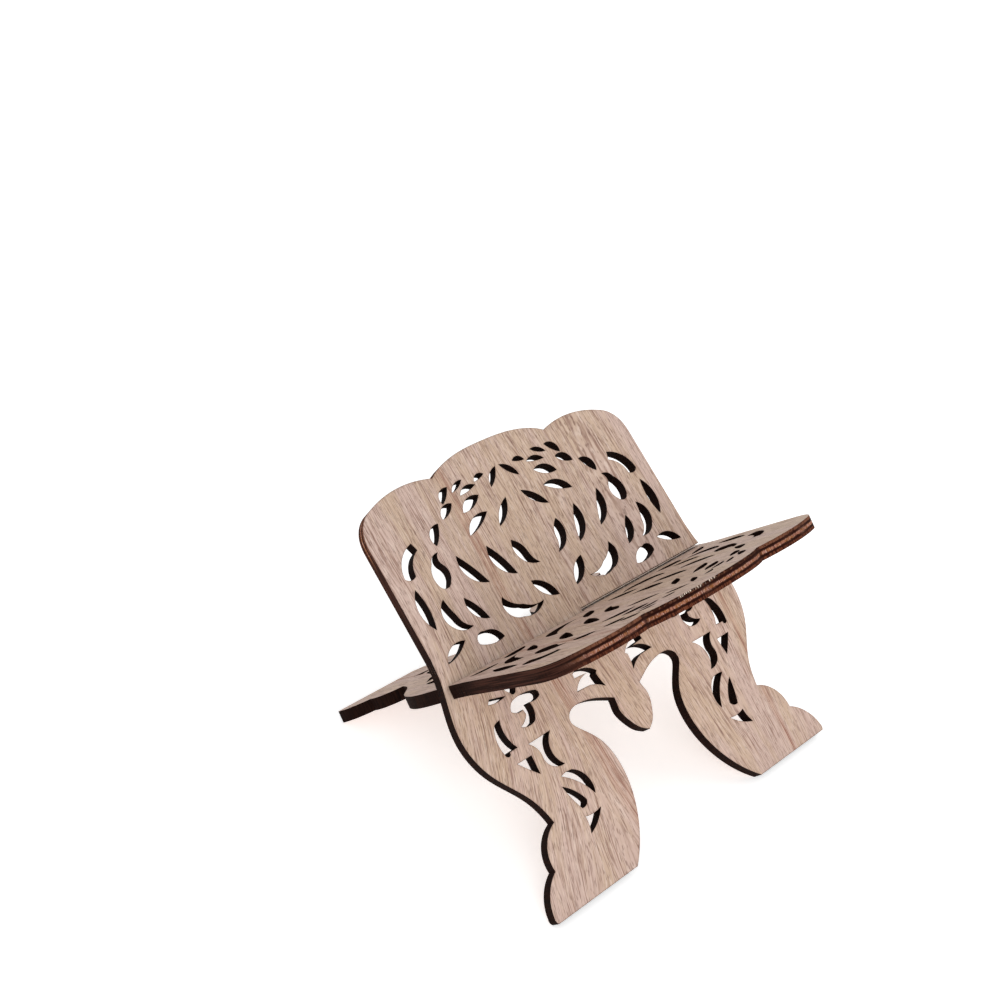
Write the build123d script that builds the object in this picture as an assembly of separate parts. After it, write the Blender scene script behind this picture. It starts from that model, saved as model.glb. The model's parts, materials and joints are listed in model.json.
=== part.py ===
"""Bible stand: two identical fretwork boards that cross like an X.

Each board is a three-ply panel with a book support above the crossing and two
scalloped legs below it.  A slot in each board takes the other board, so the pair
slides together along X and then stands on its four feet.  Each slot stops a little
short of the middle, so the boards sit that much off centre, one to each side.
The rest board has its front legs at -Y and leans back at +Y.  The ledge board is
the same board turned half a turn about Z: its support is the front ledge.

Frame: millimetres, +Z up, +X to the reader's right, origin on the floor under
the middle of the crossing line.
"""

import os
from math import cos, radians, sin

from build123d import *
from build123d.topology import SkipClean

# ---- driving dimensions ----------------------------------------------------
V_ANGLE = 100.0  # angle between the two book supports when open
CLOSED_V_ANGLE = 80.0  # the same angle when the boards are pushed together
FACE_PLY = 1.6  # thickness of each outer ply
CORE_PLY = 2.0  # thickness of the core ply
THICKNESS = 2 * FACE_PLY + CORE_PLY

LEG_LENGTH = 89.2  # crossing line to the end of the foot, along the board
SUPPORT_HALF_WIDTH = 67.9  # straight sides of the book support
FOOT_OUTER_X = 74.3
FOOT_INNER_X = 35.1
LOBE_TOP = 81.4  # crown of the middle lobe above the crossing line
LOBE_CUSP_X = 29.1  # cusp between the middle lobe and a side lobe
LOBE_CUSP_Y = 75.2

SLOT_SHORT = 0.8  # wood left between the board's middle and its slot, before the end gap
SLOT_END_GAP = 0.3  # cut off that wood, so the ends of the two slots never touch
SLOT_CLEARANCE = 0.3  # between a slot's corners and the other board

TILT = V_ANGLE / 2  # each board's lean away from upright
SWING = (V_ANGLE - CLOSED_V_ANGLE) / 2  # each way from a square crossing
SLOT_WIDTH = THICKNESS * (1 + sin(radians(SWING))) / cos(radians(SWING)) + 2 * SLOT_CLEARANCE
CROSSING_Z = LEG_LENGTH * cos(radians(TILT)) + THICKNESS / 2 * sin(radians(TILT))

# ---- fretwork ---------------------------------------------------------------
# Every opening is a closed chain of corners in board coordinates: x from the
# middle, y up the board from the crossing line.  A side is (end corner, point on
# its arc), or (end corner, None) where it is straight.  The list gives the +x
# half of the board, and the -x half is its mirror image.
LEG_FRET = {
    "ankle_leaf": [
        ((36.3, -64.0), (40.0, -64.5)),
        ((45.1, -69.9), (40.3, -67.6)),
        ((43.8, -63.9), (44.1, -66.8)),
    ],
    "shin_crescent": [
        ((43.3, -60.6), (45.2, -55.3)),
        ((39.9, -58.9), (41.3, -60.5)),
        ((46.3, -50.4), (42.5, -54.2)),
    ],
    "shin_leaf": [
        ((39.2, -46.9), (41.7, -46.6)),
        ((34.5, -54.0), (35.9, -49.9)),
        ((35.3, -58.6), (34.5, -56.4)),
        ((44.4, -47.0), (39.0, -52.1)),
    ],
    "knee_claw": [
        ((49.7, -30.8), None),
        ((46.9, -36.7), (47.7, -33.2)),
        ((43.4, -43.2), (46.4, -40.8)),
        ((40.6, -43.6), (42.1, -43.6)),
        ((39.1, -30.6), (42.85, -37.8)),
    ],
    "knee_shield": [
        ((51.1, -34.8), None),
        ((51.5, -42.0), None),
        ((57.7, -34.8), (54.5, -38.7)),
    ],
    "thigh_bar": [
        ((54.5, -29.6), (56.4, -22.9)),
        ((58.1, -29.7), None),
        ((60.3, -29.8), (59.2, -31.0)),
        ((59.6, -20.9), (60.7, -25.5)),
        ((57.7, -18.4), (58.8, -19.3)),
        ((55.5, -17.9), None),
    ],
    "thigh_scroll": [
        ((35.9, -15.0), (42.6, -13.7)),
        ((36.6, -17.8), (35.2, -16.4)),
        ((40.8, -17.7), (38.7, -18.1)),
        ((42.3, -24.5), (40.8, -21.6)),
        ((48.8, -24.1), (45.5, -25.2)),
        ((44.3, -20.9), (46.2, -22.9)),
        ((44.6, -18.9), None),
        ((49.3, -17.6), (47.4, -18.9)),
        ((45.6, -14.0), (48.0, -15.1)),
    ],
    "hip_leaf": [
        ((48.4, -11.4), (52.0, -10.4)),
        ((56.4, -11.1), (52.4, -11.8)),
        ((55.0, -9.6), None),
    ],
    "hip_drop": [
        ((45.9, -11.0), (47.4, -8.6)),
        ((43.4, -11.2), (44.7, -12.3)),
        ((42.4, -6.9), (42.3, -9.2)),
        ((46.8, -6.6), (44.6, -7.6)),
    ],
    "heart_scroll": [
        ((14.6, -16.8), (16.8, -16.5)),
        ((7.9, -20.4), (10.7, -18.0)),
        ((8.8, -21.1), None),
        ((7.7, -27.2), (8.5, -24.2)),
        ((14.0, -23.9), (10.5, -25.2)),
        ((20.2, -23.7), None),
        ((12.2, -19.4), (16.9, -20.7)),
        ((18.3, -18.8), (15.0, -19.0)),
        ((18.2, -17.2), None),
    ],
}

SUPPORT_FRET = {
    "crown_leaf": [
        ((7.2, 62.4), (5.6, 66.8)),
        ((1.0, 69.4), (3.4, 65.4)),
    ],
    "crown_petal": [
        ((13.0, 67.2), (10.6, 69.6)),
        ((7.6, 68.6), (10.0, 67.6)),
    ],
    "brow_claw": [
        ((21.8, 64.4), (18.4, 67.0)),
        ((13.6, 66.0), (17.4, 64.8)),
    ],
    "brow_leaf": [
        ((24.4, 66.8), (21.8, 69.6)),
        ((18.0, 70.0), (20.8, 67.8)),
    ],
    "temple_crescent": [
        ((30.6, 64.0), (30.0, 68.4)),
        ((25.4, 69.6), (27.6, 66.4)),
    ],
    "temple_leaf": [
        ((34.0, 58.6), (32.6, 62.4)),
        ((27.2, 63.0), (29.6, 60.2)),
    ],
    "brow_drop": [
        ((24.4, 57.6), (21.4, 61.6)),
        ((14.6, 61.6), (18.6, 58.4)),
    ],
    "cheek_crescent": [
        ((42.0, 50.4), (42.4, 55.4)),
        ((37.0, 58.0), (38.8, 54.0)),
    ],
    "wing_bar": [
        ((60.8, 44.2), (58.6, 42.8)),
        ((51.4, 55.4), (58.0, 51.2)),
        ((50.4, 52.2), None),
        ((56.2, 43.6), (54.6, 48.6)),
    ],
    "wing_scroll": [
        ((47.8, 45.0), (50.0, 40.4)),
        ((43.4, 48.0), (46.0, 47.4)),
        ((43.8, 42.8), (44.6, 45.4)),
        ((44.4, 35.8), (42.9, 39.2)),
        ((49.2, 35.4), (46.8, 34.2)),
    ],
    "middle_claw": [
        ((26.8, 48.4), (22.6, 53.8)),
        ((15.0, 54.2), (20.4, 50.4)),
    ],
    "middle_leaf": [
        ((12.8, 46.8), (9.6, 52.4)),
        ((4.0, 56.2), (6.8, 50.6)),
    ],
    "flank_leaf": [
        ((59.6, 22.2), (62.4, 30.4)),
        ((59.4, 38.8), (58.2, 30.6)),
    ],
    "flank_claw": [
        ((52.8, 19.8), (54.6, 25.4)),
        ((45.4, 17.2), (49.6, 17.3)),
        ((49.4, 23.2), (48.2, 19.8)),
        ((51.2, 31.0), (50.5, 27.0)),
    ],
    "belly_leaf": [
        ((37.0, 43.6), (33.4, 37.6)),
        ((29.8, 29.2), (37.2, 35.6)),
    ],
    "belly_crescent": [
        ((43.0, 28.0), (39.4, 22.8)),
        ((37.4, 17.0), (43.0, 21.4)),
    ],
    "heart_leaf": [
        ((23.0, 42.0), (19.4, 35.6)),
        ((16.8, 27.2), (23.6, 33.6)),
    ],
    "heart_claw": [
        ((5.2, 27.2), (12.2, 32.0)),
        ((7.6, 32.6), (6.9, 29.6)),
        ((11.8, 39.8), (8.8, 36.6)),
    ],
    "root_scroll": [
        ((24.0, 11.2), (29.6, 15.8)),
        ((12.6, 13.2), (18.0, 10.4)),
        ((21.4, 15.4), (17.2, 13.3)),
        ((28.4, 21.6), (25.6, 17.8)),
    ],
    "root_leaf": [
        ((13.2, 22.0), (7.4, 18.6)),
        ((4.8, 12.4), (11.2, 16.0)),
    ],
    "hip_drop": [
        ((42.4, 13.4), (46.2, 12.6)),
        ((35.8, 8.2), (38.4, 12.2)),
        ((46.6, 9.8), (41.2, 7.8)),
    ],
    "hip_leaf": [
        ((62.2, 9.0), (58.4, 13.6)),
        ((51.6, 13.8), (56.6, 10.4)),
    ],
}


def edge(start, end, via):
    """One side of an opening: an arc through via, or a straight line."""
    if via is None:
        return Line(start, end)
    return ThreePointArc(start, via, end)


def fret_face(sides):
    """A filled face from a closed chain of (end corner, arc point) sides."""
    corners = [corner for corner, _ in sides]
    starts = [corners[-1]] + corners[:-1]
    edges = [edge(start, end, via) for start, (end, via) in zip(starts, sides)]
    return make_face(Curve() + edges)


def half_outline():
    """The +x half of the board, closed along its middle line."""
    foot_end = (FOOT_OUTER_X, -LEG_LENGTH)
    foot_toe = (74.9, -86.8)
    low_cusp = (65.7, -73.7)
    high_cusp = (56.5, -59.2)
    side_low = (SUPPORT_HALF_WIDTH, 14.0)
    side_high = (SUPPORT_HALF_WIDTH, 59.0)
    shoulder = (59.4, 73.5)
    lobe_cusp = (LOBE_CUSP_X, LOBE_CUSP_Y)
    crown = (0.0, LOBE_TOP)
    pendant_root = (7.0, -32.9)
    pendant_tip = (0.0, -50.2)
    arch_start = (FOOT_INNER_X, -LEG_LENGTH)

    outline = [
        Spline(crown, (19.4, 79.5), lobe_cusp, tangents=[(1, 0), (1, -0.75)]),
        ThreePointArc(lobe_cusp, (44.0, 77.2), shoulder),
        Spline(shoulder, (65.6, 68.6), side_high, tangents=[(1, -0.35), (0, -1)]),
        Line(side_high, side_low),
        Spline(
            side_low,
            (70.9, -4.0),
            (73.2, -17.0),
            (69.1, -34.2),
            (59.8, -48.7),
            high_cusp,
            tangents=[(0, -1), (-0.18, -1)],
        ),
        ThreePointArc(high_cusp, (62.8, -63.7), low_cusp),
        ThreePointArc(low_cusp, (71.9, -79.1), foot_toe),
        ThreePointArc(foot_toe, (74.9, -88.3), foot_end),
        Line(foot_end, arch_start),
        Spline(
            arch_start,
            (28.7, -82.0),
            (22.3, -70.2),
            (19.4, -56.4),
            (21.8, -43.4),
            (27.0, -36.2),
            (29.3, -31.6),
            (27.4, -28.7),
            (22.6, -27.7),
            (15.0, -29.2),
            pendant_root,
        ),
        Spline(pendant_root, (7.8, -38.0), (5.4, -44.9), pendant_tip, tangents=[(0.1, -1), (-1, -0.55)]),
        Line(pendant_tip, crown),
    ]
    return make_face(Curve() + outline)


def slot_face():
    """The slot from near the board's middle, open at the +x side."""
    reach = FOOT_OUTER_X + 5.0
    start = SLOT_SHORT - SLOT_END_GAP
    return Pos((start + reach) / 2, 0) * Rectangle(reach - start, SLOT_WIDTH)


def board_face():
    """The whole board as a flat face, with its fretwork and slot cut."""
    half = half_outline()
    openings = [fret_face(sides) for fret in (LEG_FRET, SUPPORT_FRET) for sides in fret.values()]
    half = half - openings
    return half + mirror(half, about=Plane.YZ) - slot_face()


def ply(face, low, thickness):
    """One veneer layer of the board, from low to low + thickness."""
    return extrude(Pos(0, 0, low) * face, amount=thickness, dir=(0, 0, 1))


def front_ply(face, low, thickness):
    """The outer ply that a book lies on: its book face ends at the slot's upper edge."""
    reach = 2 * LEG_LENGTH
    support_area = Pos(0, SLOT_WIDTH / 2 + reach / 2) * Rectangle(2 * reach, reach)
    support = ply(face & support_area, low, thickness)
    legs = ply(face - support_area, low, thickness)
    with SkipClean():
        joined = support + legs
    return joined


def rest_board_place():
    """Board coordinates to the stand: up the board is up and back, and off centre by SLOT_SHORT."""
    return Pos(-SLOT_SHORT, 0, CROSSING_Z) * Rot(X=90 - TILT)


def save(name, shape):
    """Write one node's STEP file."""
    shape.label = name
    export_step(shape, f"parts/{name}.step")


def main():
    os.makedirs("parts", exist_ok=True)
    face = board_face()
    half = THICKNESS / 2
    layers = {
        "back_ply": ply(face, -half, FACE_PLY),
        "core_ply": ply(face, -half + FACE_PLY, CORE_PLY),
        "front_ply": front_ply(face, half - FACE_PLY, FACE_PLY),
    }
    for layer, sheet in layers.items():
        rest_sheet = rest_board_place() * sheet
        save(f"rest_board_{layer}", rest_sheet)
        save(f"ledge_board_{layer}", Rot(Z=180) * rest_sheet)
    print("slot width", round(SLOT_WIDTH, 3), "crossing height", round(CROSSING_Z, 3))


main()
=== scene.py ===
"""Looks of the bible stand: two crossing fretwork boards of laser-cut three-ply.

Each ply of each board is rebuilt from its CAD outline with softened rims, and gets a wood
material.  A board's own coordinates are x across it, y up it and z out of its book face.
"""

import json
import math

import bpy
import numpy as np
from mathutils import Matrix, Vector
from mathutils.geometry import delaunay_2d_cdt
from mathutils.kdtree import KDTree


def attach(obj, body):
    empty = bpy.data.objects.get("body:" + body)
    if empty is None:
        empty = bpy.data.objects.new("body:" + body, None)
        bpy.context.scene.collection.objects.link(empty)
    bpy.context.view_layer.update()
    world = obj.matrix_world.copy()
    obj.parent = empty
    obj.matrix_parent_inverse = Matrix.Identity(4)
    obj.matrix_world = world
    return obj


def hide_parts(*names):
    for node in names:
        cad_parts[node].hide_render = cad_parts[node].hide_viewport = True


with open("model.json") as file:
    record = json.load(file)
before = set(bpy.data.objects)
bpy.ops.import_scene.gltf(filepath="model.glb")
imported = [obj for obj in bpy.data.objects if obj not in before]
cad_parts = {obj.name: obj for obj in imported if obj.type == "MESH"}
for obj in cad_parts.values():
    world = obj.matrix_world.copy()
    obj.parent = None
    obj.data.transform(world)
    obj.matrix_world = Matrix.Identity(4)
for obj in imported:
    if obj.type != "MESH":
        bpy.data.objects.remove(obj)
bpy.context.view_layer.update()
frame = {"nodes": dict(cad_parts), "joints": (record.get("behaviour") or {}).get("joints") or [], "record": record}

MM = 0.001
CROSSING = Vector(frame["joints"][0]["pos_m"])
MOUNTS = {mount["name"]: mount for mount in frame["record"]["mounts"]}

LOBE_CUSP_X = 29.1  # millimetres from the middle to the cusps between the support's lobes

# ---- how the plies are rebuilt, in millimetres ------------------------------
CORNER_TURN = 20.0  # degrees: a sharper turn of an outline stays a corner
STEP = 0.7  # spacing of the points along a smooth stretch
RIM = 0.1  # softened edge of a book face or a back face
GLUE_RIM = 0.07  # softened edge beside a glue line
FACE_GRID = 3.0  # spacing of the points inside a face
SMOKE_BANDS = ((0.35, 1), (0.9, 2))  # rows of points that follow the cuts: distance, and every how many


# ---- outlines ---------------------------------------------------------------
def board_matrix(mount):
    """Board coordinates to the part's frame, from the mount on its book face.

    Their origin is in the middle of the board, on the line where the boards cross.
    """
    normal = Vector(MOUNTS[mount]["axis"]).normalized()
    across = Vector((1, 0, 0)) * (-1 if normal.y > 0 else 1)
    up = normal.cross(across)
    turn = Matrix((across, up, normal)).transposed().to_4x4()
    middle = Vector((MOUNTS[mount]["pos_m"][0], CROSSING.y, CROSSING.z))
    return Matrix.Translation(middle) @ turn


def local_points(node, matrix):
    """A CAD node's vertices in board coordinates, in millimetres."""
    inverse = np.array(matrix.inverted())
    points = np.array([v.co for v in frame["nodes"][node].data.vertices])
    return (points @ inverse[:3, :3].T + inverse[:3, 3]) / MM


def outlines(node, matrix):
    """The closed outlines of a ply, and the heights of its two faces."""
    points = local_points(node, matrix)
    low, high = points[:, 2].min(), points[:, 2].max()
    welded = {}
    index = [welded.setdefault(tuple(np.round(p, 3)), len(welded)) for p in points]
    flat = np.array(list(welded))
    on_top = np.abs(flat[:, 2] - high) < 0.01
    follows = {}
    for polygon in frame["nodes"][node].data.polygons:
        corners = [index[i] for i in polygon.vertices]
        if all(on_top[corners]):
            for a, b in zip(corners, corners[1:] + corners[:1]):
                follows[(a, b)] = True
    after = {a: b for a, b in follows if (b, a) not in follows}
    loops = []
    while after:
        point = next(iter(after))
        loop = []
        while point in after:
            loop.append(point)
            point = after.pop(point)
        loops.append(flat[loop][:, :2])
    return loops, low, high


def turns(loop):
    """The turn at each point of a closed outline, in degrees."""
    after = np.roll(loop, -1, 0) - loop
    before = loop - np.roll(loop, 1, 0)
    cross = before[:, 0] * after[:, 1] - before[:, 1] * after[:, 0]
    return np.degrees(np.arctan2(cross, (before * after).sum(1)))


def smooth_stretch(points):
    """Points every STEP along a smooth curve through the given points."""
    padded = np.vstack([2 * points[0] - points[1], points, 2 * points[-1] - points[-2]])
    out = []
    for i in range(1, len(padded) - 2):
        p0, p1, p2, p3 = padded[i - 1 : i + 3]
        length = np.hypot(*(p2 - p1))
        m1 = (p2 - p0) / max(np.hypot(*(p2 - p0)), 1e-9) * length
        m2 = (p3 - p1) / max(np.hypot(*(p3 - p1)), 1e-9) * length
        count = max(1, round(length / STEP))
        for t in np.arange(count) / count:
            a, b = 2 * t**3 - 3 * t**2 + 1, t**3 - 2 * t**2 + t
            c, d = -2 * t**3 + 3 * t**2, t**3 - t**2
            out.append(a * p1 + b * m1 + c * p2 + d * m2)
    return out


def resample(loop):
    """The outline with its corners kept and its smooth stretches made finer."""
    corners = np.flatnonzero(np.abs(turns(loop)) > CORNER_TURN)
    if len(corners) == 0:
        corners = np.array([0])
    loop = np.roll(loop, -corners[0], 0)
    corners = list(corners - corners[0]) + [len(loop)]
    closed = np.vstack([loop, loop[:1]])
    out = []
    for a, b in zip(corners, corners[1:]):
        out += smooth_stretch(closed[a : b + 1])
    return np.array(out)


def inward(loop):
    """Unit-thickness offset direction at each point: into the wood, mitred at corners."""
    after = np.roll(loop, -1, 0) - loop
    after /= np.maximum(np.hypot(*after.T), 1e-9)[:, None]
    before = np.roll(after, 1, 0)
    n1 = np.c_[-before[:, 1], before[:, 0]]
    n2 = np.c_[-after[:, 1], after[:, 0]]
    mitre = n1 + n2
    return 2 * mitre / np.maximum((mitre * mitre).sum(1), 0.5)[:, None]


# ---- ply meshes -------------------------------------------------------------
def inside(points, loops):
    """Which points lie in the wood, by counting crossings of all outlines."""
    hit = np.zeros(len(points), bool)
    starts = np.vstack(loops)
    ends = np.vstack([np.roll(loop, -1, 0) for loop in loops])
    for (x1, y1), (x2, y2) in zip(starts, ends):
        spans = np.flatnonzero((y1 > points[:, 1]) != (y2 > points[:, 1]))
        if len(spans):
            x = x1 + (points[spans, 1] - y1) / (y2 - y1) * (x2 - x1)
            hit[spans] ^= points[spans, 0] < x
    return hit


def cut_tree(loops):
    """A search tree of all outline points."""
    points = np.vstack(loops)
    tree = KDTree(len(points))
    for i, (x, y) in enumerate(points):
        tree.insert((x, y, 0), i)
    tree.balance()
    return tree


def distance_to(points, tree):
    """Distance from each point to the nearest outline point."""
    return np.array([tree.find((x, y, 0))[2] for x, y in points])


def inset_points(loops, inset, tree):
    """The outline points moved into the wood by inset, and by less where the wood is thin."""
    still = np.vstack(loops)
    step = np.vstack([inward(loop) for loop in loops]) * inset
    for _ in range(4):
        crowded = distance_to(still + step, tree) < 0.85 * np.hypot(*step.T)
        step[crowded] *= 0.5
    return still + step


def face_points(loops, tree):
    """The points inside a visible face: rows that follow the cuts, then a staggered grid."""
    rows = []
    for distance, every in SMOKE_BANDS:
        row = np.vstack([(loop + inward(loop) * distance)[::every] for loop in loops])
        rows.append(row[distance_to(row, tree) > 0.9 * distance])
    edge = np.vstack(loops)
    low, high = edge.min(0), edge.max(0)
    grid = []
    for k, y in enumerate(np.arange(low[1], high[1], FACE_GRID * 0.866)):
        x = np.arange(low[0] + (k % 2) * FACE_GRID / 2, high[0], FACE_GRID)
        grid.append(np.c_[x, np.full(len(x), y)])
    grid = np.vstack(grid)
    rows.append(grid[distance_to(grid, tree) > FACE_GRID / 2])
    points = np.vstack(rows)
    return points[inside(points, loops)]


def triangulate(points, loops, rings):
    """Triangles over the wood. points holds the outlines' points in order, then the others."""
    made = delaunay_2d_cdt([Vector(p) for p in points], [], rings, 0, 1e-5, True)
    came_from = [ids[0] for ids in made[3]]
    triangles = np.array([[came_from[i] for i in triangle] for triangle in made[2]])
    return triangles[inside(points[triangles].mean(1), loops)]


def ply_mesh(name, loops, low, high, low_rim, high_rim, shown):
    """A closed ply: two faces and a wall, with softened rims between them.

    shown is -1, 0 or 1: the low face, neither or the high face is an outer face of the board.
    """
    tree = cut_tree(loops)
    edge = np.vstack(loops)
    count = len(edge)
    rings, start = [], 0
    for loop in loops:
        rings.append(list(range(start, start + len(loop))))
        start += len(loop)
    levels = [(low, low_rim), (low + low_rim, 0.0), (high - high_rim, 0.0), (high, high_rim)]
    sheets = [inset_points(loops, inset, tree) if inset else edge for _, inset in levels]
    vertices = [np.c_[sheet, np.full(count, height)] for sheet, (height, _) in zip(sheets, levels)]
    after = np.concatenate([np.roll(ring, -1) for ring in rings])
    here = np.arange(count)
    faces = []
    for level in range(3):
        low_ring, high_ring = level * count, (level + 1) * count
        faces += np.c_[low_ring + here, low_ring + after, high_ring + after, high_ring + here].tolist()
    walls = len(faces)
    total = 4 * count
    depth = [np.zeros(total)]
    for level, side in ((0, -1), (3, 1)):
        extra = face_points(loops, tree) if side == shown else np.zeros((0, 2))
        flat = np.vstack([sheets[level], extra])
        index = np.r_[level * count + here, total + np.arange(len(extra))]
        faces += index[triangulate(flat, loops, rings)][:, ::side].tolist()
        vertices.append(np.c_[extra, np.full(len(extra), levels[level][0])])
        depth.append(distance_to(extra, tree))
        total += len(extra)
    mesh = bpy.data.meshes.new(name)
    mesh.from_pydata((np.vstack(vertices) * MM).tolist(), [], faces)
    mesh.update()
    mesh.polygons.foreach_set("material_index", [1] * walls + [0] * (len(faces) - walls))
    mesh.polygons.foreach_set("use_smooth", [True] * len(faces))
    mesh.set_sharp_from_angle(angle=math.radians(32))
    outer = max(range(len(loops)), key=lambda i: len(loops[i]))
    on_outline = np.concatenate([np.full(len(loop), i == outer) for i, loop in enumerate(loops)])
    on_outline = np.r_[np.tile(on_outline, 4), np.zeros(total - 4 * count)]
    for attribute, values in (("from_cut", np.concatenate(depth)), ("on_outline", on_outline)):
        layer = mesh.attributes.new(attribute, "FLOAT", "POINT")
        layer.data.foreach_set("value", values.astype(np.float32))
    return mesh


def ply_piece(board, layer, matrix, face_material, edge_material):
    """One ply of one board as a finished piece that stands for its CAD node."""
    node = f"{board}_{layer}"
    loops, low, high = outlines(node, matrix)
    loops = [resample(loop) for loop in loops]
    rims = {"back_ply": (RIM, GLUE_RIM), "core_ply": (GLUE_RIM, GLUE_RIM), "front_ply": (GLUE_RIM, RIM)}
    shown = {"back_ply": -1, "core_ply": 0, "front_ply": 1}[layer]
    mesh = ply_mesh(node + "_veneer", loops, low, high, *rims[layer], shown)
    mesh.materials.append(face_material)
    mesh.materials.append(edge_material)
    piece = bpy.data.objects.new(node + "_veneer", mesh)
    piece.matrix_world = matrix
    bpy.context.scene.collection.objects.link(piece)
    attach(piece, board)
    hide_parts(node)
    return piece


# ---- materials --------------------------------------------------------------
def srgb(red, green, blue):
    """A shader colour from 0 to 255 screen values."""
    linear = [((c / 255 + 0.055) / 1.055) ** 2.4 for c in (red, green, blue)]
    return (*linear, 1.0)


class Graph:
    """A material's nodes, with short calls for the few kinds used here."""

    def __init__(self, name):
        self.material = bpy.data.materials.new(name)
        self.material.use_nodes = True
        self.tree = self.material.node_tree
        self.shader = self.tree.nodes["Principled BSDF"]
        self.coords = self.tree.nodes.new("ShaderNodeTexCoord").outputs["Object"]

    def link(self, source, socket):
        self.tree.links.new(source, socket)

    def place(self, size, shift=(0, 0, 0), source=None):
        """Board coordinates scaled so that size, in millimetres, is one unit of noise."""
        node = self.tree.nodes.new("ShaderNodeMapping")
        node.inputs["Scale"].default_value = [1 / (s * MM) for s in size]
        node.inputs["Location"].default_value = shift
        self.link(source or self.coords, node.inputs["Vector"])
        return node.outputs["Vector"]

    def noise(self, vector, detail=2.0, roughness=0.5, distortion=0.0):
        node = self.tree.nodes.new("ShaderNodeTexNoise")
        node.inputs["Scale"].default_value = 1.0
        node.inputs["Detail"].default_value = detail
        node.inputs["Roughness"].default_value = roughness
        node.inputs["Distortion"].default_value = distortion
        self.link(vector, node.inputs["Vector"])
        return node.outputs["Fac"]

    def ramp(self, source, low, high, start=0.0, end=1.0):
        """source mapped smoothly from low..high to start..end."""
        node = self.tree.nodes.new("ShaderNodeMapRange")
        node.interpolation_type = "SMOOTHSTEP"
        for name, value in zip(("From Min", "From Max", "To Min", "To Max"), (low, high, start, end)):
            node.inputs[name].default_value = value
        self.link(source, node.inputs["Value"])
        return node.outputs["Result"]

    def math(self, kind, a, b):
        node = self.tree.nodes.new("ShaderNodeMath")
        node.operation = kind
        for socket, value in zip(node.inputs, (a, b)):
            if isinstance(value, (int, float)):
                socket.default_value = value
            else:
                self.link(value, socket)
        return node.outputs[0]

    def mix(self, share, first, second):
        """Colour first to second by share."""
        node = self.tree.nodes.new("ShaderNodeMix")
        node.data_type = "RGBA"
        self.link(share, node.inputs["Factor"])
        for socket, value in ((node.inputs[6], first), (node.inputs[7], second)):
            if isinstance(value, tuple):
                socket.default_value = value
            else:
                self.link(value, socket)
        return node.outputs[2]

    def split(self, vector=None):
        node = self.tree.nodes.new("ShaderNodeSeparateXYZ")
        self.link(vector or self.coords, node.inputs[0])
        return node.outputs

    def combine(self, *parts):
        node = self.tree.nodes.new("ShaderNodeCombineXYZ")
        for socket, part in zip(node.inputs, parts):
            self.link(part, socket)
        return node.outputs[0]

    def attribute(self, name):
        node = self.tree.nodes.new("ShaderNodeAttribute")
        node.attribute_name = name
        return node.outputs["Fac"]

    def finish(self, colour, roughness, height, depth, specular):
        """Connects colour, roughness and a bump of that depth in metres."""
        bump = self.tree.nodes.new("ShaderNodeBump")
        bump.inputs["Strength"].default_value = 1.0
        bump.inputs["Distance"].default_value = depth
        self.link(height, bump.inputs["Height"])
        self.link(bump.outputs["Normal"], self.shader.inputs["Normal"])
        self.link(colour, self.shader.inputs["Base Color"])
        self.link(roughness, self.shader.inputs["Roughness"])
        self.shader.inputs["Specular IOR Level"].default_value = specular
        return self.material


PINK_TAN = srgb(203, 177, 165)
YELLOW_TAN = srgb(199, 173, 151)
PALE_STREAK = srgb(222, 201, 187)
# The dark grain colour also paints the shade at the feet.
GRAIN_AND_SHADE_DARK = srgb(148, 117, 103)
PORE_DARK = srgb(110, 80, 68)
RUST_STREAK = srgb(138, 90, 74)
RUST_HALO = srgb(190, 148, 124)
SMOKE = srgb(118, 84, 66)
STRAIGHT = ((-60.0, -3.0), (0.0, 3.0))


def slanted(g, x, y, lean):
    """How far the grain's lines are shifted across the board, where they slant by lean.

    lean is pairs of a place across the board, in millimetres, and the slant there, in degrees.
    The slant fades out above the crossing.
    """
    places = [place * MM for place, _ in lean]
    slopes = [math.tan(math.radians(angle)) for _, angle in lean]
    slant = g.ramp(x, places[0], places[1], slopes[0], slopes[1])
    for i in range(2, len(lean)):
        more = g.ramp(x, places[i - 1], places[i], 0.0, slopes[i] - slopes[i - 1])
        slant = g.math("ADD", slant, more)
    along = g.ramp(y, -0.130, 0.030, -0.055, 0.055)
    return g.math("MULTIPLY", slant, along)


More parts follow.
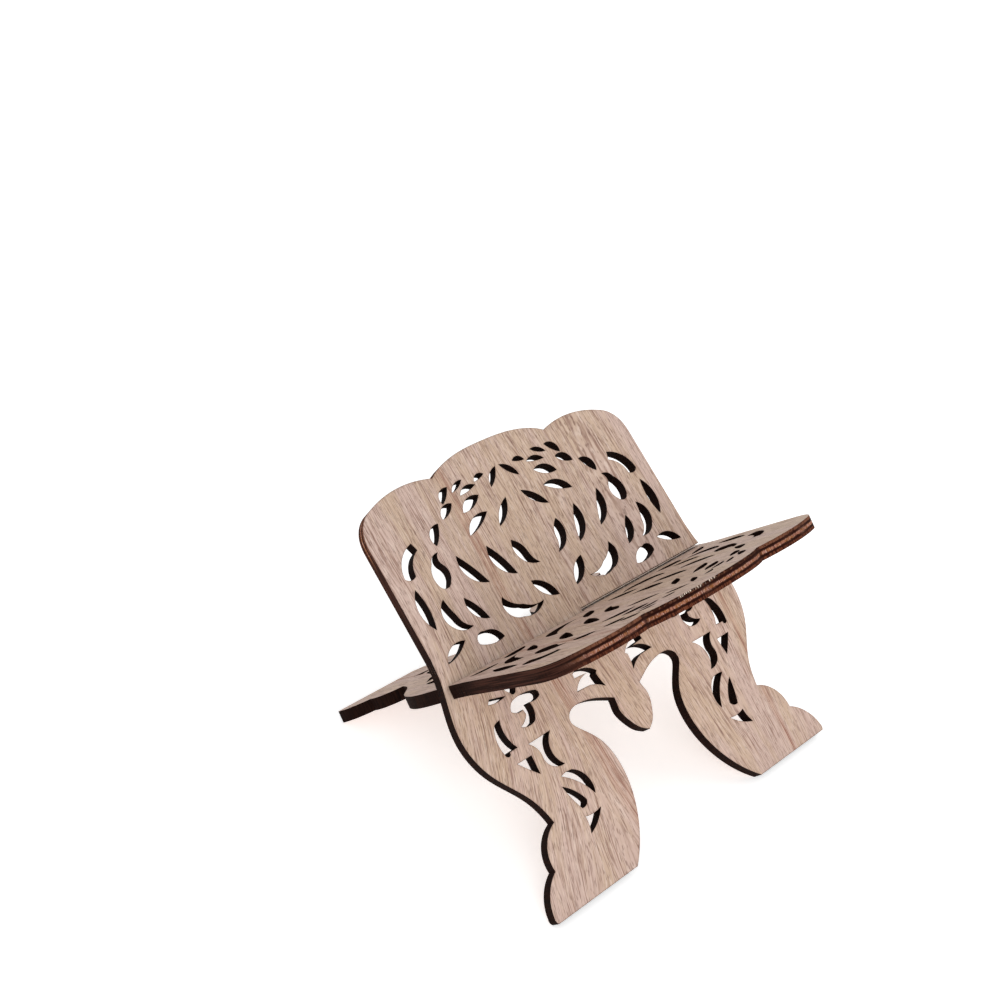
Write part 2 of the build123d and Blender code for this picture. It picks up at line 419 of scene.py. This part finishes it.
def face_veneer(name, seed, lean=STRAIGHT, rust_lines=(), smoke=0.25):
    """Raw pinkish-tan veneer: fine dark and pale grain, short pores, smoke beside the cuts,
    and painted shade towards the feet.

    The grain runs up the board and slants by lean. rust_lines are the places of red-brown lines,
    in millimetres across the board.
    """
    g = Graph(name)
    shift = (seed * 7.3, seed * 3.1, seed * 5.7)
    other = (seed * 2.9 + 40, seed * 6.1, seed * 1.7)
    x, y, z = g.split()
    sway = g.math("SUBTRACT", g.noise(g.place((24, 55, 40), shift), detail=1.0), 0.5)
    across = g.math("ADD", g.math("ADD", x, slanted(g, x, y, lean)), g.math("MULTIPLY", sway, 0.006))
    wood = g.combine(across, y, z)

    zone = g.noise(g.place((9, 110, 30), shift, wood), detail=2.0)
    tint = g.noise(g.place((1.5, 13, 9), other, wood), detail=2.0)
    crowd = g.noise(g.place((3.6, 40, 20), other, wood), detail=1.0)
    grain = g.noise(g.place((0.50, 14, 5), shift, wood), detail=3.0, roughness=0.6)
    pale = g.noise(g.place((0.62, 6, 5), other, wood), detail=3.0, roughness=0.6)
    dash = g.noise(g.place((0.32, 3.4, 4), shift, wood), detail=1.0)
    line = g.noise(g.place((0.30, 30, 8), other, wood), detail=2.0)

    dash_mask = g.ramp(dash, 0.56, 0.70)
    hue = g.math("ADD", g.math("MULTIPLY", zone, 0.7), g.math("MULTIPLY", tint, 0.3))
    hue = g.math("ADD", hue, g.ramp(y, -0.090, -0.020, -0.05, 0.03))
    colour = g.mix(g.ramp(hue, 0.40, 0.62), PINK_TAN, YELLOW_TAN)
    colour = g.mix(g.ramp(pale, 0.50, 0.68, 0.0, 0.65), colour, PALE_STREAK)
    dark = g.math("MULTIPLY", g.ramp(grain, 0.46, 0.66), g.ramp(crowd, 0.35, 0.62, 0.45, 0.95))
    colour = g.mix(dark, colour, GRAIN_AND_SHADE_DARK)
    colour = g.mix(g.math("MULTIPLY", dash_mask, 0.55), colour, PORE_DARK)
    # Painted shade: up to a tenth of the dark grain colour towards the feet, to offset the light that the glowing
    # floor throws on them.
    colour = g.mix(g.ramp(y, -0.088, -0.062, 0.10, 0.0), colour, GRAIN_AND_SHADE_DARK)
    for place in rust_lines:
        near = g.math("ABSOLUTE", g.math("SUBTRACT", across, place * MM), 0)
        colour = g.mix(g.ramp(near, 0.0003, 0.0022, 0.25, 0.0), colour, RUST_HALO)
        band = g.ramp(near, 0.0003, 0.0018, 0.95, 0.0)
        colour = g.mix(g.math("MULTIPLY", band, g.ramp(line, 0.50, 0.60)), colour, RUST_STREAK)
    colour = g.mix(g.ramp(g.attribute("from_cut"), 0.0, 0.8, smoke, 0.0), colour, SMOKE)
    height = g.math("SUBTRACT", g.math("MULTIPLY", grain, 0.5), dash_mask)
    return g.finish(colour, g.ramp(grain, 0.3, 0.7, 0.58, 0.74), height, 0.00006, 0.3)


CHAR_BLACK = srgb(18, 8, 6)
CHAR_BROWN = srgb(40, 22, 16)
SCORCH_BROWN = srgb(74, 44, 35)
FRONT_BURNT = srgb(44, 20, 12)
FRONT_BROWN = srgb(114, 73, 55)
CORE_PINK = srgb(156, 106, 88)
CORE_ORANGE = srgb(148, 95, 58)
CORE_PALE = srgb(208, 172, 158)
CORE_DARK = srgb(80, 40, 28)
BACK_BROWN = srgb(104, 58, 39)
BACK_DARK = srgb(54, 24, 16)
GLUE_LINE = srgb(34, 9, 4)
UNBURNT_AND_HIGHLIGHT = srgb(245, 226, 206)
SEAM = 0.01 * MM


def cut_edge(name, seed, core_half):
    """The laser-cut edge of all three plies. core_half is half the core's thickness, in metres.

    It is charred all over, but only scorched along the lobes of the support's outline, where the
    core and the glue lines show. The middle lobe keeps unburnt splinters at the book face, and their
    near-white colour is partly a painted highlight on the rounded rim there.
    """
    g = Graph(name)
    shift = (seed * 4.7, seed * 9.1, 0)
    other = (seed * 8.3, seed * 2.3, 0)
    x, y, z = g.split()
    side = g.math("ABSOLUTE", x, 0)
    height = g.math("ABSOLUTE", z, 0)
    lines = g.noise(g.place((0.42, 0.42, 7), shift), detail=2.0, roughness=0.62)
    marks = g.noise(g.place((0.36, 0.36, 1.1), other), detail=2.0, roughness=0.6)
    patch = g.noise(g.place((2.4, 2.4, 1.2), shift), detail=3.0)
    burn = g.noise(g.place((1.3, 1.3, 0.9), shift), detail=3.0, roughness=0.6)
    blotch = g.noise(g.place((9, 9, 30), shift), detail=2.0)
    streak = g.noise(g.place((22, 22, 0.5), other), detail=2.0)
    lobe = g.ramp(side, (LOBE_CUSP_X - 1) * MM, (LOBE_CUSP_X + 3) * MM)

    burnt = g.math("ADD", burn, g.ramp(lobe, 0.0, 1.0, 0.14, -0.05))
    burnt = g.math("SUBTRACT", burnt, g.ramp(z, core_half, 2 * core_half, -0.05, 0.07))
    burnt = g.math("MAXIMUM", g.ramp(burnt, 0.40, 0.58), g.ramp(lines, 0.46, 0.64, 0.0, 0.7))
    front = g.mix(burnt, FRONT_BROWN, FRONT_BURNT)
    core = g.mix(g.ramp(patch, 0.42, 0.62), CORE_PINK, CORE_ORANGE)
    core = g.mix(g.ramp(burn, 0.50, 0.70, 0.0, 0.6), core, CORE_DARK)
    core = g.mix(g.ramp(marks, 0.53, 0.68, 0.0, 0.75), core, CORE_PALE)
    core = g.mix(g.ramp(lines, 0.50, 0.64, 0.0, 0.8), core, CORE_DARK)
    back = g.mix(g.ramp(lines, 0.38, 0.60), BACK_BROWN, BACK_DARK)
    bare = g.mix(g.ramp(z, -core_half - SEAM, -core_half + SEAM), back, core)
    bare = g.mix(g.ramp(z, core_half - SEAM, core_half + SEAM), bare, front)
    to_glue = g.math("ABSOLUTE", g.math("SUBTRACT", height, core_half), 0)
    ragged = g.math("ADD", to_glue, g.math("MULTIPLY", g.math("SUBTRACT", burn, 0.5), 0.0010))
    glue = g.ramp(ragged, 0.00030, 0.00062, 0.96, 0.0)
    glue = g.math("MULTIPLY", glue, g.ramp(blotch, 0.3, 0.5, 0.7, 1.0))
    bare = g.mix(glue, bare, GLUE_LINE)

    # Unburnt splinters on the middle lobe near the book face. Their near-white colour is partly a painted
    # highlight on the rounded rim.
    middle = g.math("MULTIPLY", g.ramp(x, -0.003, 0.001), g.ramp(x, 0.014, 0.018, 1.0, 0.0))
    deep = g.math("SUBTRACT", z, g.math("MULTIPLY", lines, 0.0024))
    splinter_and_highlight = g.math("MULTIPLY", g.ramp(lines, 0.53, 0.57), g.ramp(deep, 0.0002, 0.0007))
    splinter_and_highlight = g.math("MULTIPLY", splinter_and_highlight, g.ramp(patch, 0.42, 0.50))
    bare = g.mix(g.math("MULTIPLY", middle, splinter_and_highlight), bare, UNBURNT_AND_HIGHLIGHT)

    char = g.mix(g.ramp(lines, 0.35, 0.7), CHAR_BLACK, CHAR_BROWN)
    support = g.math("MULTIPLY", g.ramp(y, 0.010, 0.030), g.attribute("on_outline"))
    char = g.mix(g.math("MULTIPLY", support, g.ramp(streak, 0.40, 0.62, 0.1, 0.8)), char, SCORCH_BROWN)
    cusp = g.math("ABSOLUTE", g.math("SUBTRACT", side, LOBE_CUSP_X * MM), 0)
    lit = g.math("MULTIPLY", g.ramp(y, 0.050, 0.062), g.attribute("on_outline"))
    lit = g.math("MULTIPLY", lit, g.ramp(x, 0.050, 0.065, 1.0, 0.0))
    lit = g.math("MULTIPLY", lit, g.ramp(cusp, 0.0002, 0.0010, 0.15, 1.0))
    lit = g.math("MULTIPLY", lit, g.ramp(blotch, 0.30, 0.55, 0.7, 1.0))
    colour = g.mix(lit, char, bare)
    return g.finish(colour, g.ramp(lines, 0.3, 0.7, 0.75, 0.9), lines, 0.00012, 0.04)


# ---- floor, light and camera ------------------------------------------------
FLOOR_HALF = 12.0  # metres, so that the floor runs far back in every view
FLOOR_GLOW = 0.40  # keeps the floor near white
WORLD_STRENGTH = 0.75
STAND_MIDDLE = (0, 0, 0.05)


def floor():
    """A plain pale floor at the feet."""
    mesh = bpy.data.meshes.new("floor")
    corners = [(x * FLOOR_HALF, y * FLOOR_HALF, 0) for x, y in ((-1, -1), (1, -1), (1, 1), (-1, 1))]
    mesh.from_pydata(corners, [], [(0, 1, 2, 3)])
    piece = bpy.data.objects.new("floor", mesh)
    bpy.context.scene.collection.objects.link(piece)
    g = Graph("pale_floor")
    colour = g.mix(g.noise(g.place((90, 90, 90)), detail=2.0), srgb(250, 250, 250), srgb(247, 247, 247))
    g.link(colour, g.shader.inputs["Base Color"])
    g.shader.inputs["Roughness"].default_value = 0.9
    g.shader.inputs["Emission Color"].default_value = (1, 1, 1, 1)
    g.shader.inputs["Emission Strength"].default_value = FLOOR_GLOW
    piece.data.materials.append(g.material)


def softbox(name, place, size, power):
    """A square area light that looks at the middle of the stand."""
    data = bpy.data.lights.new(name, "AREA")
    data.size = size
    data.energy = power
    light = bpy.data.objects.new(name, data)
    light.location = place
    light.rotation_euler = (Vector(STAND_MIDDLE) - Vector(place)).to_track_quat("-Z", "Y").to_euler()
    bpy.context.scene.collection.objects.link(light)


def studio():
    """White surroundings and two large softboxes, the key light over the front left."""
    world = bpy.data.worlds.new("studio")
    world.use_nodes = True
    world.node_tree.nodes["Background"].inputs["Color"].default_value = (1, 1, 1, 1)
    world.node_tree.nodes["Background"].inputs["Strength"].default_value = WORLD_STRENGTH
    bpy.context.scene.world = world
    softbox("key_light", (-0.55, -1.15, 0.7), size=0.8, power=5.8)
    softbox("fill_light", (0.9, -0.5, 0.8), size=0.8, power=2.5)
    bpy.context.scene.view_settings.view_transform = "Standard"


# The lens looks over the ledge at the place where a leaning book would be.
AIM = Vector((-0.05290, -0.0123, 0.1436))
DISTANCE = 0.4
AZIMUTH, ELEVATION, ROLL = -40.13, 33.38, -0.23
LENS = 43.97


def camera():
    """A product shot from above the front left."""
    data = bpy.data.cameras.new("camera")
    data.sensor_width = 36.0
    data.lens = LENS
    data.clip_start = 0.01
    azimuth, elevation = math.radians(AZIMUTH), math.radians(ELEVATION)
    level = math.cos(elevation)
    back = Vector((math.sin(azimuth) * level, -math.cos(azimuth) * level, math.sin(elevation)))
    turn = (-back).to_track_quat("-Z", "Y").to_matrix().to_4x4()
    eye = bpy.data.objects.new("camera", data)
    roll = Matrix.Rotation(math.radians(ROLL), 4, "Z")
    eye.matrix_world = Matrix.Translation(AIM + back * DISTANCE) @ turn @ roll
    bpy.context.scene.collection.objects.link(eye)
    bpy.context.scene.camera = eye


# ---- the stand --------------------------------------------------------------
def board(name, mount, book_face, back_face, edge_seed):
    """The three plies of one board."""
    matrix = board_matrix(mount)
    core_half = local_points(f"{name}_core_ply", matrix)[:, 2].max() * MM
    edge = cut_edge(f"{name}_edge", edge_seed, core_half)
    ply_piece(name, "front_ply", matrix, book_face, edge)
    ply_piece(name, "core_ply", matrix, edge, edge)
    ply_piece(name, "back_ply", matrix, back_face, edge)


FANNED = ((-60.0, -21.0), (-44.0, -13.0), (-24.0, 3.0), (34.0, 1.0), (52.0, -8.0))

board(
    "rest_board",
    "rest_face",
    face_veneer("rest_board_book_face", 1, FANNED, rust_lines=(-22.6, -25.6, 61.0)),
    face_veneer("rest_board_back_face", 6, rust_lines=(18.0,), smoke=0.45),
    edge_seed=1,
)
board(
    "ledge_board",
    "ledge_face",
    face_veneer("ledge_board_book_face", 12, rust_lines=(44.0,)),
    face_veneer("ledge_board_back_face", 17, rust_lines=(-38.0,), smoke=0.45),
    edge_seed=12,
)
floor()
studio()
camera()
